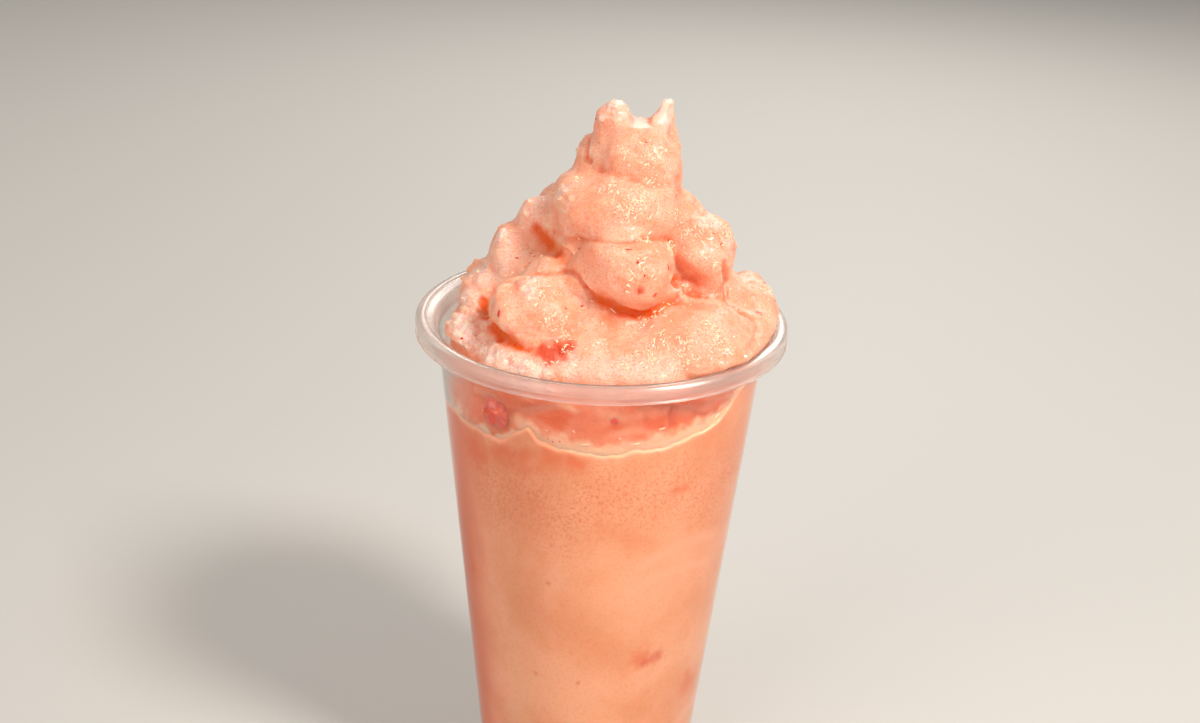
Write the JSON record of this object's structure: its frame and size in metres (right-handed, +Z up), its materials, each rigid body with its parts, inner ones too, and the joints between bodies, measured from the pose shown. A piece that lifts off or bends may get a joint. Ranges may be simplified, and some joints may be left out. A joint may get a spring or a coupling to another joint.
{
  "type": "cup of strawberry smoothie",
  "caption": "Blended strawberry ice drink in a tapered clear plastic cup with a rolled rim, heaped above the rim in soft folds that end in two icy tips.",
  "frame": {"origin": "centre of the cup's foot, on the surface that it stands on", "axes": "+Z up along the cup's axis; the shown side faces -Y"},
  "size_m": [0.095, 0.095, 0.2011],
  "materials": {
    "clear_plastic": "milky clear polypropylene, smooth, softly glossy",
    "smoothie": "blended strawberry and ice, moist and grainy with fine bubbles, small glints and red flecks"
  },
  "bodies": {
    "root": {"cup": "clear_plastic", "smoothie": "smoothie"}
  },
  "joints": []
}
